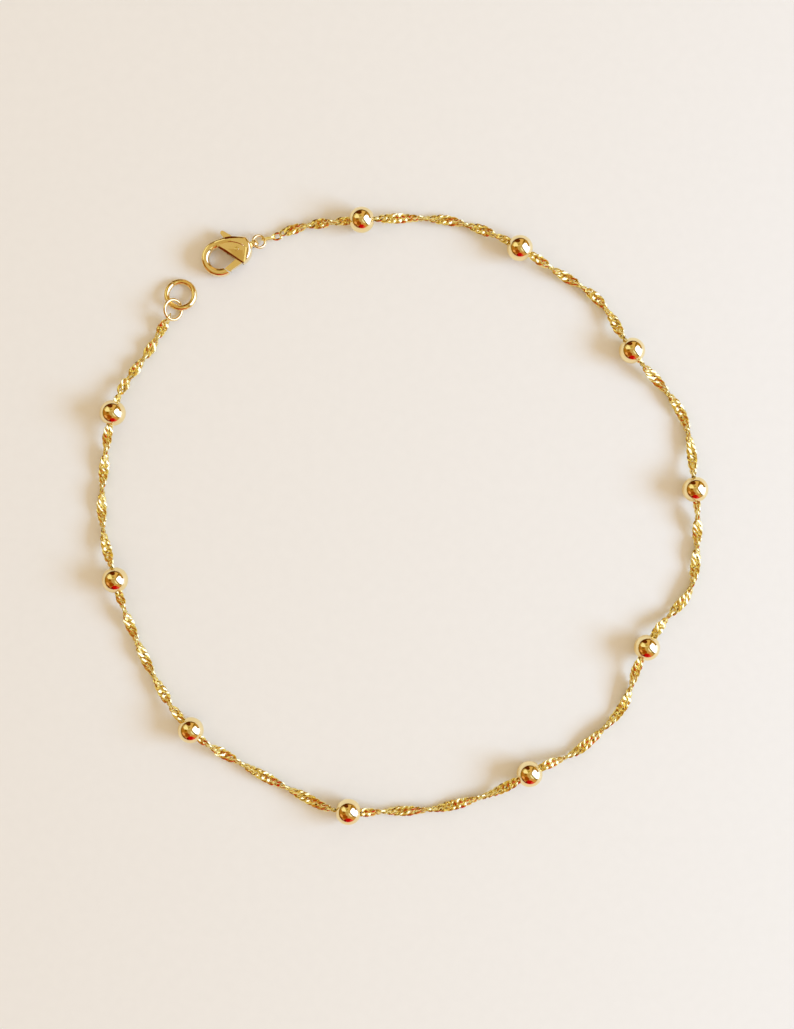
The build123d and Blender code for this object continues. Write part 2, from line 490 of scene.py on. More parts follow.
def wire_ring(radius: float, wire: float, sweep: float = 360.0, step_off: float = 0.0,
              steps: int = 96, sides: int = 28) -> Bench:
    """Bends round wire into a ring, flat at the origin.

    Args:
        radius: the ring's radius to the middle of the wire.
        wire: the wire's diameter.
        sweep: how far round it goes, in degrees. Under 360 it has two cut ends.
        step_off: how far one end stands above the other.
        steps: how many sections the ring has.
        sides: how many faces the wire has round.

    Returns:
        The bench with the ring.
    """
    ring = Bench()
    section = bmesh.ops.create_circle(ring.bm, segments=sides, radius=wire / 2)["verts"]
    upright = Matrix.Translation((radius, 0, 0)) @ Matrix.Rotation(math.pi / 2, 4, "X")
    bmesh.ops.transform(ring.bm, matrix=upright, verts=section)
    closed = sweep >= 360
    bmesh.ops.spin(ring.bm, geom=ring.bm.edges[:], cent=(0, 0, 0), axis=(0, 0, 1),
                   dvec=(0, 0, step_off / steps), angle=math.radians(sweep), steps=steps,
                   use_merge=closed)
    if not closed:
        ends = [edge for edge in ring.bm.edges if edge.is_boundary]
        bmesh.ops.holes_fill(ring.bm, edges=ends)
    bmesh.ops.remove_doubles(ring.bm, verts=ring.bm.verts, dist=SAME_POINT)
    bmesh.ops.recalc_face_normals(ring.bm, faces=ring.bm.faces)
    return ring


# ---- Pieces ---------------------------------------------------------------------------
@dataclass
class Piece(ABC):
    """A piece of the anklet that stands for one node of the frame.

    Attributes:
        name: the piece's own name.
        node: the node that it replaces.
        slot: the record's slot that its finish belongs to; not used.
        finish: its finish.
        body: the body that it rides on.
    """

    name: str
    node: str
    slot: Slot
    finish: GoldFinish
    body: Body = Body.ANKLET

    @abstractmethod
    def shape(self) -> bpy.types.Object:
        """Makes the piece's object, in millimetres."""

    def crease_angle(self) -> float:
        """The turn between two faces above which the edge stays crisp, in degrees."""
        return 40.0

    def flat_faced(self) -> bool:
        """Whether the piece has flat faces beside rounded ones, which have to look flat."""
        return False

    def make(self) -> bpy.types.Object:
        """Makes the piece, scales it to metres, dresses it and sets it on its body.

        Returns:
            The finished object.
        """
        piece = self.shape()
        piece.name = self.name
        piece.data.name = self.name
        piece.data.transform(Matrix.Scale(MM, 4))
        self.dress(piece)
        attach(piece, self.body.value)
        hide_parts(self.node)
        log.info("%s stands for %s on %s: %d faces", self.name, self.node, self.body.value,
                 len(piece.data.polygons))
        return piece

    def dress(self, piece: bpy.types.Object) -> None:
        """Gives the piece its finish, smooth except at its crisp edges.

        Args:
            piece: the piece's object.
        """
        piece.data.materials.clear()
        piece.data.materials.append(self.finish.material())
        piece.data.shade_smooth()
        piece.data.set_sharp_from_angle(angle=math.radians(self.crease_angle()))
        if self.flat_faced():
            weights = piece.modifiers.new("flat_faces", "WEIGHTED_NORMAL")
            weights.keep_sharp = True


def node_middle(node: str) -> Vector:
    """Returns the middle of a node's box, in millimetres."""
    low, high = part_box(node)
    return (Vector(low) + Vector(high)) / 2 / MM


# ---- The chain's line -----------------------------------------------------------------
@dataclass(frozen=True)
class Span:
    """The chain between two beads.

    Attributes:
        points: the places its line passes by, in millimetres in plan.
        faces_up: how far along the span its flat face looks up, in millimetres.
        bead_heading: the heading of the hole of the bead that ends the span, in degrees.
    """

    points: tuple[tuple[float, float], ...]
    faces_up: tuple[float, ...]
    bead_heading: float | None = None


SPANS = (
    Span(((-32.2, 25.8), (-33.1, 24.0), (-34.8, 21.3), (-36.8, 18.8)),
         (2.4, 5.6, 9.1, 11.8, 14.6), -106),
    Span(((-40.1, 8.1), (-40.7, 2.4), (-40.4, -2.6)), (3.1, 8.1, 13.5, 19.0), -74),
    Span(((-37.0, -14.4), (-34.6, -19.8), (-32.4, -23.9)), (2.4, 6.7, 11.7, 17.2, 20.7), -46),
    Span(((-23.8, -32.4), (-18.3, -35.5), (-12.9, -38.2)), (1.8, 5.5, 12.2, 19.2), -4),
    Span(((-1.4, -40.0), (3.9, -39.9), (8.7, -38.8), (12.1, -37.7)), (2.3, 7.8, 14.8, 22.8), 30),
    Span(((22.9, -32.6), (26.9, -29.4), (30.1, -25.9), (31.0, -23.2)),
         (2.8, 8.6, 16.3, 22.1), 60.5),
    Span(((36.4, -13.3), (39.2, -10.5), (39.9, -5.6), (40.0, -2.2)),
         (2.9, 7.9, 13.9, 18.2, 22.7), 97),
    Span(((39.2, 9.3), (38.0, 14.0), (34.9, 17.9)), (4.9, 11.3, 16.9), 125),
    Span(((28.2, 27.3), (25.7, 30.2), (21.0, 32.9)), (0.1, 4.3, 8.9, 13.8, 18.6), 149),
    Span(((10.8, 38.7), (6.1, 40.1), (0.5, 40.2)), (1.9, 5.7, 10.9, 17.9), 184),
    Span(((-11.2, 39.5), (-14.2, 38.9)), (2.5, 5.9, 9.8)),
)


@dataclass
class ChainLine:
    """The smooth line that the chain's links are strung on.

    Attributes:
        start: where the first link hooks the end link.
        finish: where the last link hooks the joining link.
        lying: the height of the line where the chain lies on the surface.
        bead_run: how far each side of a bead's middle the line is held straight.
        feel: how far ahead and behind its direction is felt.
        marks: points close together along the line.
        lengths: how far along the line each of them is.
        beads: how far along the line each bead's middle is.
        turns: how far along the line each place is where the chain's flat face looks up.
    """

    start: Vector = field(default_factory=lambda: Vector((-31.24, 26.97, 1.6)))
    finish: Vector = field(default_factory=lambda: Vector((-16.45, 38.12, 0.66)))
    lying: float = 0.72
    bead_run: float = 2.4
    feel: float = 0.3
    marks: list[Vector] = field(default_factory=list, init=False)
    lengths: list[float] = field(default_factory=list, init=False)
    beads: list[float] = field(default_factory=list, init=False)
    turns: list[float] = field(default_factory=list, init=False)

    def __post_init__(self) -> None:
        """Draws the line, measures it and finds the beads and the places that face up."""
        self.marks = self._drawn()
        self.lengths = [0.0]
        for here, there in zip(self.marks, self.marks[1:]):
            self.lengths.append(self.lengths[-1] + (there - here).length)
        self.beads = [self._nearest(middle) for middle in bead_middles()]
        for span, before in zip(SPANS, [0.0, *self.beads]):
            self.turns += [before + along for along in span.faces_up]

    def _route(self) -> list[Vector]:
        """Works out the line's control points: low in each span, level through each bead.

        Returns:
            The points, from the start to the finish.
        """
        route = [self.start]
        for span, bead in zip(SPANS, [*bead_middles(), None]):
            route += [Vector((x, y, self.lying)) for x, y in span.points]
            if bead is not None:
                heading = math.radians(span.bead_heading)
                along = self.bead_run * Vector((math.cos(heading), math.sin(heading), 0))
                route += [bead - along, bead + along]
        return [*route, self.finish]

    def _drawn(self) -> list[Vector]:
        """Draws the smooth curve that the route controls.

        Returns:
            Points close together along the curve.
        """
        route = self._route()
        curve = bpy.data.curves.new("chain_line", "CURVE")
        curve.dimensions = "3D"
        curve.resolution_u = 24
        spline = curve.splines.new("NURBS")
        spline.points.add(len(route) - 1)
        for point, place in zip(spline.points, route):
            point.co = (*place, 1.0)
        spline.order_u = 3
        spline.use_endpoint_u = True
        holder = bpy.data.objects.new("chain_line", curve)
        mesh = bpy.data.meshes.new_from_object(holder)
        points = [vert.co.copy() for vert in mesh.vertices]
        bpy.data.objects.remove(holder)
        bpy.data.curves.remove(curve)
        bpy.data.meshes.remove(mesh)
        return points

    def _nearest(self, place: Vector) -> float:
        """Returns how far along the line its nearest point to a place is."""
        index = min(range(len(self.marks)), key=lambda i: (self.marks[i] - place).length)
        return self.lengths[index]

    @property
    def length(self) -> float:
        """The line's whole length."""
        return self.lengths[-1]

    def at(self, along: float) -> Vector:
        """Finds a point of the line.

        Args:
            along: its distance along the line.

        Returns:
            The point.
        """
        index = min(max(bisect_right(self.lengths, along) - 1, 0), len(self.marks) - 2)
        run = self.lengths[index + 1] - self.lengths[index]
        return self.marks[index].lerp(self.marks[index + 1], (along - self.lengths[index]) / run)

    def frame_at(self, along: float) -> tuple[Vector, Vector, Vector]:
        """Finds the line's place and directions.

        Args:
            along: the distance along the line.

        Returns:
            The point, the direction to the line's left and the direction up from it.
        """
        forward = (self.at(along + self.feel) - self.at(along - self.feel)).normalized()
        left = Vector((0, 0, 1)).cross(forward).normalized()
        return self.at(along), left, forward.cross(left)

    def wrapped(self, along: float, point: Vector, play: float) -> Vector:
        """Wraps a point of a straight link round the line, with the chain's twist.

        Args:
            along: the distance of the link's middle along the line.
            point: the point, with the link lying along X and its face looking along Z.
            play: how far the link is turned out of the even twist, in radians.

        Returns:
            Where the point goes.
        """
        place, left, up = self.frame_at(along + point.x)
        turn = self.turn_at(along + point.x) + play
        side = left * math.cos(turn) + up * math.sin(turn)
        face = up * math.cos(turn) - left * math.sin(turn)
        return place + side * point.y + face * point.z

    def turn_at(self, along: float) -> float:
        """Works out the chain's twist: half a turn from one face up to the next.

        Args:
            along: the distance along the line.

        Returns:
            The twist, in radians.
        """
        index = min(max(bisect_right(self.turns, along) - 1, 0), len(self.turns) - 2)
        here, there = self.turns[index], self.turns[index + 1]
        return math.pi * (index + (along - here) / (there - here))

    def from_bead(self, along: float) -> float:
        """Returns the distance to the nearest bead's middle."""
        return min(abs(along - bead) for bead in self.beads)


def bead_middles() -> list[Vector]:
    """Returns the middles of the ten beads, in order along the chain."""
    return [node_middle(f"bead_{number:02d}") for number in range(1, len(SPANS))]


# ---- Chain ----------------------------------------------------------------------------
# The wire's diameter in the blank that a link is bent from, a ring of radius 1.
BLANK_WIRE = 0.2


@dataclass(frozen=True)
class Link:
    """One long oval link, bent so that its neighbours nest in it.

    Attributes:
        length: the oval's length to the middle of the wire.
        width: the oval's width to the middle of the wire.
        wire_across: the flattened wire's width, in the link's plane.
        wire_through: the flattened wire's thickness.
        lift: how far its four quarters bend out of flat.
        face_cut: the height of the bright-cut flats above the link's middle plane.
        slant: how far the oval leans along the chain for each step across it.
        roundness: the section of the wire, from 0 for square to 1 for round.
    """

    length: float = 1.25
    width: float = 0.99
    wire_across: float = 0.43
    wire_through: float = 0.27
    lift: float = -0.20
    face_cut: float = 0.30
    slant: float = -0.22
    roundness: float = 0.7

    def bent(self, blank: Vector) -> Vector:
        """Bends the blank ring into the link.

        Args:
            blank: a point of the blank ring.

        Returns:
            Where the point goes on the link.
        """
        angle = math.atan2(blank.y, blank.x)
        cos, sin = math.cos(angle), math.sin(angle)
        outward = (math.hypot(blank.x, blank.y) - 1) / BLANK_WIRE
        outward = math.copysign(abs(2 * outward)**self.roundness / 2, outward)
        centre = Vector((self.length / 2 * cos, self.width / 2 * sin,
                         self.lift * math.sin(2 * angle)))
        out = Vector((self.width * cos, self.length * sin, 0)).normalized()
        point = centre + out * outward * self.wire_across
        point.x += point.y * self.slant
        point.z += blank.z / BLANK_WIRE * self.wire_through
        point.z = max(-self.face_cut, min(self.face_cut, point.z))
        return point


@dataclass
class TwistedChain(Piece):
    """The twisted curb chain, with the two joining links at the clasp.

    Attributes:
        pitch: the distance from one link to the next.
        full: the link where the chain is widest.
        slim_width: the width of the links in and beside a bead.
        slim_reach: how far from a bead's middle the links stay slim.
        full_reach: how far from a bead's middle they are full again.
        looseness: how unevenly the links are turned, in degrees.
        seed: the number that the unevenness starts from.
        steps: how many sections a link has.
        sides: how many faces a link's wire has round.
    """

    pitch: float = 0.77
    full: Link = field(default_factory=Link)
    slim_width: float = 0.66
    slim_reach: float = 1.9
    full_reach: float = 3.2
    looseness: float = 8.0
    seed: int = 11
    steps: int = 16
    sides: int = 6

    def shape(self) -> bpy.types.Object:
        """Strings the links along the line, then adds the joining links.

        Returns:
            The chain's object.
        """
        line = ChainLine()
        chance = random.Random(self.seed)
        bench = Bench()
        blank = bpy.data.meshes.new("blank_link")
        wire_ring(1.0, BLANK_WIRE, steps=self.steps, sides=self.sides).bm.to_mesh(blank)
        count = round((line.length - self.full.length) / self.pitch) + 1
        pitch = (line.length - self.full.length) / (count - 1)
        for number in range(count):
            along = self.full.length / 2 + number * pitch
            play = math.radians(chance.uniform(-self.looseness, self.looseness))
            link = self.link_at(line.from_bead(along))
            self.lay(bench, blank, lambda point: line.wrapped(along, link.bent(point), play))
        for link, place in self.joining_links():
            self.lay(bench, blank, lambda point: place @ link.bent(point))
        bpy.data.meshes.remove(blank)
        log.info("%d links at a pitch of %.3f mm on a line of %.1f mm", count, pitch, line.length)
        return bench.object(self.name)

    @staticmethod
    def lay(bench: Bench, blank: bpy.types.Mesh, bend: Callable[[Vector], Vector]) -> None:
        """Lays one link on the bench.

        Args:
            bench: the bench that gathers the chain.
            blank: a flat ring of round wire, as a mesh.
            bend: where each of the ring's points goes.
        """
        before = len(bench.bm.verts)
        bench.bm.from_mesh(blank)
        bench.bm.verts.ensure_lookup_table()
        for vert in bench.bm.verts[before:]:
            vert.co = bend(vert.co)

    def link_at(self, from_bead: float) -> Link:
        """Chooses the link for a place on the chain.

        Args:
            from_bead: the distance from the nearest bead's middle.

        Returns:
            The link, slim in and beside a bead and full between the beads.
        """
        share = (from_bead - self.slim_reach) / (self.full_reach - self.slim_reach)
        share = min(max(share, 0.0), 1.0)
        return replace(self.full,
                       width=self.slim_width + share * (self.full.width - self.slim_width))

    def joining_links(self) -> list[tuple[Link, Matrix]]:
        """Makes the two links that join the chain to the clasp's ring.

        Returns:
            The upright link in the ring and the plain link beside it, each with its place.
        """
        wire = Link(lift=0.0, wire_across=0.31, wire_through=0.31, face_cut=1.0, slant=0.0,
                    roundness=1.0)
        upright = replace(wire, length=1.72, width=0.78)
        plain = replace(wire, length=1.24, width=0.84)
        return [
            (upright, laid(Vector((-18.92, 37.34, 0.60)), Vector((-17.22, 37.68, 0.62)), 90)),
            (plain, laid(Vector((-17.50, 37.56, 0.62)), Vector((-16.20, 38.00, 0.60)), 8)),
        ]


def laid(near: Vector, far: Vector, roll: float) -> Matrix:
    """Works out how a link is laid between two points.

    Args:
        near: the point at the link's near end.
        far: the point at its far end.
        roll: how far it is rolled about its length, in degrees.

    Returns:
        The move from the origin, where the link lies flat along X.
    """
    forward = (far - near).normalized()
    left = Vector((0, 0, 1)).cross(forward).normalized()
    lie = Matrix((forward, left, forward.cross(left))).transposed().to_4x4()
    return (Matrix.Translation((near + far) / 2) @ lie
            @ Matrix.Rotation(math.radians(roll), 4, "X"))


# ---- Beads ----------------------------------------------------------------------------
@dataclass
class BallBead(Piece):
    """A hollow ball bead, drilled through for the chain.

    Attributes:
        middle: the bead's middle.
        heading: the heading of its hole, in degrees.
        radius: the ball's radius.
        hole: the hole's radius.
        lip: the rounding at the hole's edge.
        steps: how many sections the ball has from one mouth to the other.
        turns: how many it has round the hole.
    """

    middle: Vector = field(default_factory=Vector)
    heading: float = 0.0
    radius: float = 1.75
    hole: float = 0.66
    lip: float = 0.07
    steps: int = 40
    turns: int = 80

    def shape(self) -> bpy.types.Object:
        """Spins the ball's profile about the hole, closes the hole's wall and rounds its lips.

        Returns:
            The bead's object.
        """
        bench = Bench()
        edge = math.degrees(math.asin(self.hole / self.radius))
        bench.arc(Vector(), self.radius, edge, 180 - edge, self.steps)
        bmesh.ops.spin(bench.bm, geom=bench.bm.edges[:], cent=(0, 0, 0), axis=(1, 0, 0),
                       dvec=(0, 0, 0), angle=math.tau, steps=self.turns, use_merge=True)
        bmesh.ops.remove_doubles(bench.bm, verts=bench.bm.verts, dist=SAME_POINT)
        rims = [side for side in bench.bm.edges if side.is_boundary]
        bmesh.ops.bridge_loops(bench.bm, edges=rims)
        bmesh.ops.recalc_face_normals(bench.bm, faces=bench.bm.faces)
        bench.bevel(self._on_lip, self.lip, 3)
        bench.place(Matrix.Translation(self.middle)
                    @ Matrix.Rotation(math.radians(self.heading), 4, "Z"))
        return bench.object(self.name)

    def _on_lip(self, edge: BMEdge) -> bool:
        """Whether an edge runs round one of the hole's two mouths."""
        return all(math.isclose(math.hypot(vert.co.y, vert.co.z), self.hole, abs_tol=1e-3)
                   for vert in edge.verts) and sharp(edge, 20)


# ---- Rings ----------------------------------------------------------------------------
@dataclass
class WireRing(Piece):
    """A ring of round wire.

    Attributes:
        radius: its radius to the middle of the wire.
        wire: the wire's diameter.
        lie: how it is turned from flat, before it is moved to its place.
        seam: the width of its butted seam, or 0 for a closed ring.
        seam_angle: where the seam is, in degrees, before the ring is turned.
        step_off: how far the seam's two ends miss each other.
        end_round: the rounding of those ends.
    """

    radius: float = 1.0
    wire: float = 0.4
    lie: Matrix = field(default_factory=Matrix)
    seam: float = 0.0
    seam_angle: float = 0.0
    step_off: float = 0.0
    end_round: float = 0.05

    def shape(self) -> bpy.types.Object:
        """Bends the wire, rounds its cut ends and lays the ring in its place.

        Returns:
            The ring's object.
        """
        gap = math.degrees(self.seam / self.radius)
        ring = wire_ring(self.radius, self.wire, 360.0 - gap, self.step_off)
        if self.seam:
            ring.bevel(sharp, self.end_round, 3)
        turn = Matrix.Rotation(math.radians(self.seam_angle + gap / 2), 4, "Z")
        ring.place(Matrix.Translation(node_middle(self.node)) @ self.lie @ turn)
        return ring.object(self.name)


def turned(heading: float, axis: str, tilt: float) -> Matrix:
    """Returns a tilt about one axis, then a turn to a heading, both in degrees."""
    return (Matrix.Rotation(math.radians(heading), 4, "Z")
            @ Matrix.Rotation(math.radians(tilt), 4, axis))


# ---- Clasp ----------------------------------------------------------------------------
def on_circle(radius: float, angle: float) -> Vector:
    """Returns the point of a circle about the origin at an angle in degrees."""
    return radius * Vector((math.cos(math.radians(angle)), math.sin(math.radians(angle)), 0))


def angle_about(middle: Vector, point: Vector) -> float:
    """Returns the angle at which a point lies about a middle, in degrees."""
    gap = point - middle
    return math.degrees(math.atan2(gap.y, gap.x))


@dataclass(frozen=True)
class ClaspPlan:
    """The sizes that the clasp's pieces share, in its own plan.

    The pivot is the origin, the nose points to -X, the thumb tab to +Y and the gate is on -Y.

    Attributes:
        heading: the turn from the clasp's plan to where it lies, in degrees.
        thickness: the height of its cheeks.
        nose_middle: the middle of the claw's hole.
        nose_outer: the outer radius of the hook.
        nose_hole: the radius of the claw's hole.
        nose_end: the angles at which the hook ends, about the claw's hole, at its inner
            and its outer edge.
        back_radius: the long arc of the back.
        belly_middle: the middle of the round rear of the cheeks.
        belly_radius: its radius.
        front_foot: the lower end of the cheeks' slanting front.
        front_knee: where that front meets the claw's hole.
        slot_height: the height of the slot that the lever turns in.
        slot_reach: how far the slot reaches towards the nose and the eye.
        slot_slant: the two ends of the slot's slanting wall beside the gate.
        pin_radius: the rivet's radius.
        eye: the middle of the eye.
        eye_hole: the radius of the eye's hole.
    """

    heading: float = 27.4
    thickness: float = 2.2
    nose_middle: Vector = field(default_factory=lambda: Vector((-2.65, 0.05, 0)))
    nose_outer: float = 2.4
    nose_hole: float = 1.42
    nose_end: tuple[float, float] = (262.6, 277.0)
    back_radius: float = 7.2
    belly_middle: Vector = field(default_factory=lambda: Vector((-0.13, 0.07, 0)))
    belly_radius: float = 2.12
    front_foot: tuple[float, float] = (-0.137, -2.05)
    front_knee: tuple[float, float] = (-2.18, 1.39)
    slot_height: float = 0.92
    slot_reach: tuple[float, float] = (-1.5, 1.35)
    slot_slant: tuple[tuple[float, float], tuple[float, float]] = ((-0.2, -2.2), (0.84, -0.3))
    pin_radius: float = 0.28
    eye: tuple[float, float] = (2.35, -0.27)
    eye_hole: float = 0.38

    @property
    def mid(self) -> float:
        """The height of the clasp's middle plane."""
        return self.thickness / 2

    @property
    def back_middle(self) -> Vector:
        """The middle of the back's long arc, which touches the hook straight above its middle."""
        return self.nose_middle + Vector((0, self.nose_outer - self.back_radius, 0))

    def placing(self) -> Matrix:
        """Works out the clasp's place from the lever's pivot.

        Returns:
            The move from the clasp's plan to that place.
        """
        pivot = Vector(frame["record"]["behaviour"]["joints"][0]["pos_m"]) / MM
        return (Matrix.Translation((pivot.x, pivot.y, 0))
                @ Matrix.Rotation(math.radians(self.heading), 4, "Z"))


@dataclass
class ClaspBody(Piece):
    """The clasp's casting: hook, cheeks and eye.

    Attributes:
        plan: the clasp's shared sizes.
        round_outer: the rounding of its outer edges.
        round_hole: the rounding of the claw's hole.
        nose_share: the hook's height as a share of the cheeks'.
        taper: where along the clasp it thins from the cheeks to the hook.
        front_edge: the height, from the middle, at which the chamfered front leaves its edge.
        mitre: how far the chamfer's upper end leans to meet the hole's rounding.
        flat_middle: the middle of the arc that bounds each sunken flat along the back.
        flat_radius: that arc's radius, at the flat's floor.
        flat_sweep: the angles from which and to which that arc runs.
        flat_corner: the upper left corner of the flat.
        flat_foot: the lower end of the flat's straight rear side.
        flat_flare: how far the flat's walls lean out in a millimetre of height.
        ridge: the heading of the low ridge across each flat, in degrees.
        ridge_depth: how deep the ridge lies under the cheek's top.
        fall: how steeply the flat falls away on both sides of the ridge.
        facet_edge: the two ends of the inner edge of the facet along the back.
        facet_tilt: how steeply the facet falls to the back, in degrees.
        facet_roll: how it falls towards the nose, in degrees.
        cove_radius: the radius of the hollow between the flat and the round rear.
        cove: the two ends of the hollow's lowest line.
        cove_length: the length of the bar that cuts the hollow.
        cove_bite: how far the hollow's lowest line lies under the flat's floor.
        cove_rim: how far the hollow reaches past the flat's arc.
        cove_start: the angle from which that arc bounds the hollow, in degrees.
        lug_radius: the outer radius of the eye's lug.
        lug_width: the lug's width, along the eye's hole.
        lug_round: the rounding of its edges.
        pin_fit: the gap round the rivet in the cheeks.
        arc_step: the length that every edge of the outline's arcs stays under.
    """

    plan: ClaspPlan = field(default_factory=ClaspPlan)
    round_outer: float = 0.38
    round_hole: float = 0.44
    nose_share: float = 0.77
    taper: tuple[float, float] = (-2.3, -0.1)
    front_edge: float = 0.66
    mitre: float = 0.257
    flat_middle: Vector = field(default_factory=lambda: Vector((-1.83, -1.68, 0)))
    flat_radius: float = 3.25
    flat_sweep: tuple[float, float] = (24.0, 83.0)
    flat_corner: tuple[float, float] = (-2.0, 1.52)
    flat_foot: tuple[float, float] = (-0.1, -1.98)
    flat_flare: float = 0.45
    ridge: float = -28.0
    ridge_depth: float = 0.15
    fall: float = 0.07
    facet_edge: tuple[tuple[float, float], ...] = ((-0.82, 1.87), (0.85, 1.22))
    facet_tilt: float = 27.0
    facet_roll: float = 2.6
    cove_radius: float = 0.68
    cove: tuple[tuple[float, float], tuple[float, float]] = ((1.1, -0.25), (0.2, -1.55))
    cove_length: float = 3.2
    cove_bite: float = 0.004
    cove_rim: float = 0.1
    cove_start: float = -60.0
    lug_radius: float = 0.62
    lug_width: float = 0.8
    lug_round: float = 0.16
    pin_fit: float = 0.005
    arc_step: float = 0.5

    def shape(self) -> bpy.types.Object:
        """Joins the rounded plan and the eye's lug, then cuts the cheeks, the slot and bores.

        Returns:
            The casting's object.
        """
        casting = self.blank().object(self.name)
        worked(casting, self.eye(), "UNION")
        for side in TOP_AND_BOTTOM:
            for tool in (self.flat(), self.hollow(), self.chamfer(), self.facet()):
                worked(casting, self.on_side(tool, side), "DIFFERENCE")
        worked(casting, self.lever_slot(), "DIFFERENCE")
        worked(casting, self.across(self.plan.eye_hole, 5 * self.lug_width), "DIFFERENCE")
        bore = round_bar(self.plan.pin_radius + self.pin_fit, 2 * self.plan.thickness)
        worked(casting, bore.place(Matrix.Translation((0, 0, self.plan.mid))), "DIFFERENCE")
        casting.data.transform(self.plan.placing())
        return casting

    def crease_angle(self) -> float:
        """The turn above which an edge stays crisp: less than the ridge across a flat."""
        return 20.0

    def flat_faced(self) -> bool:
        """The cheeks' flats and the front chamfers look flat."""
        return True

    def blank(self) -> Bench:
        """Draws the casting's outline, thickens it, rounds it and thins it to the nose.

        Returns:
            The bench with the casting.
        """
        plan = self.plan
        bench = Bench()
        corner = self.back_corner()
        foot, knee = Vector((*plan.front_foot, 0)), Vector((*plan.front_knee, 0))
        inner_end, outer_end = plan.nose_end
        bench.arc(plan.nose_middle, plan.nose_outer, 90, outer_end, 36)
        bench.arc(plan.back_middle, plan.back_radius, angle_about(plan.back_middle, corner),
                  90, 16)
        bench.arc(plan.belly_middle, plan.belly_radius, angle_about(plan.belly_middle, foot),
                  angle_about(plan.belly_middle, corner), 24)
        bench.path([plan.front_foot, plan.front_knee])
        bench.arc(plan.nose_middle, plan.nose_hole, angle_about(plan.nose_middle, knee),
                  inner_end, 40)
        ends = [plan.nose_middle + on_circle(radius, angle) for radius, angle in (
            (plan.nose_hole, inner_end), (plan.nose_outer, outer_end))]
        bench.path([(end.x, end.y) for end in ends])
        bench.close()
        bench.thicken(0.0, plan.thickness)
        bench.bevel(lambda edge: self._on_rim(edge, hole=False), self.round_outer, 6)
        bench.bevel(lambda edge: self._on_rim(edge, hole=True), self.round_hole, 6)
        for x in self.taper:
            bench.slice(Vector((x, 0, 0)), Vector((1, 0, 0)))
        for vert in bench.bm.verts:
            vert.co.z = plan.mid + (vert.co.z - plan.mid) * self._height_share(vert.co.x)
        return bench

    def back_corner(self) -> Vector:
        """Finds where the back's arc meets the round rear.

        Returns:
            The point.
        """
        plan = self.plan
        gap = plan.belly_middle - plan.back_middle
        lean = math.acos((gap.length_squared + plan.back_radius**2 - plan.belly_radius**2)
                         / (2 * gap.length * plan.back_radius))
        return plan.back_middle + on_circle(plan.back_radius,
                                            math.degrees(math.atan2(gap.y, gap.x) - lean))

    def _on_rim(self, edge: BMEdge, hole: bool) -> bool:
        """Whether an edge follows the claw's hole, or else one of the outline's other arcs.

        Args:
            edge: the edge.
            hole: True to ask for the hole's edges, False for the others.

        Returns:
            True for such an edge. The outline's two straight cuts stay crisp.
        """
        level = abs(edge.verts[0].co.z - edge.verts[1].co.z) < SAME_POINT
        return (level and sharp(edge) and edge.calc_length() < self.arc_step
                and all(self._in_hole(vert.co) == hole for vert in edge.verts))

    def _in_hole(self, point: Vector) -> bool:
        """Whether a point lies on the wall of the claw's hole."""
        return (point - self.plan.nose_middle).xy.length < self.plan.nose_hole + HAIR

    def _height_share(self, x: float) -> float:
        """Works out the casting's height at a place along it.

        Args:
            x: how far along the clasp the place is.

        Returns:
            The height there, as a share of the cheeks'.
        """
        low, high = self.taper
        share = min(max((x - low) / (high - low), 0.0), 1.0)
        return self.nose_share + (1 - self.nose_share) * share

    def on_side(self, tool: Bench, side: float) -> Bench:
        """Sets a cutter that is made for the top, measured from the middle, in its place.

        Args:
            tool: the cutter.
            side: 1 for the upper cheek, -1 for the lower.

        Returns:
            The cutter.
        """
        if side < 0:
            bmesh.ops.scale(tool.bm, vec=(1, 1, -1), verts=tool.bm.verts)
            bmesh.ops.reverse_faces(tool.bm, faces=tool.bm.faces)
        return tool.place(Matrix.Translation((0, 0, self.plan.mid)))

    def depth(self, point: Vector) -> float:
        """Returns how deep a flat's floor lies at a point of the plan."""
        beside = Vector((point.x, point.y, 0)).cross(on_circle(1.0, self.ridge)).z
        return self.ridge_depth + self.fall * abs(beside)

    def flat(self) -> Bench:
        """Makes the cutter for a sunken flat: sloped walls, and a low ridge across its floor.

        Returns:
            The cutter, for the top and measured from the middle.
        """
        start, end = self.flat_sweep
        rear = self.flat_middle + on_circle(self.flat_radius, start)
        top = self.flat_middle + on_circle(self.flat_radius, end)
        bench = Bench()
        bench.arc(self.flat_middle, self.flat_radius, start, end, 20)
        bench.path([(top.x, top.y), self.flat_corner, self.flat_foot, (rear.x, rear.y)])
        bench.close()
        bench.thicken(0.0, 1.0)
        opened = 1 + self.flat_flare / self.flat_radius
        bench.slice(Vector(), on_circle(1.0, self.ridge).cross(Vector((0, 0, 1))))
        about = Matrix.Translation(-self.flat_middle)
        bmesh.ops.scale(bench.bm, vec=(opened, opened, 1), space=about,
                        verts=[vert for vert in bench.bm.verts if vert.co.z > 0.5])
        for vert in bench.bm.verts:
            vert.co.z += self.plan.mid - self.depth(vert.co) * (1 - vert.co.z)
        sides = [face for face in bench.bm.faces if abs(face.normal.z) < 0.9]
        bmesh.ops.triangulate(bench.bm, faces=sides)
        return bench

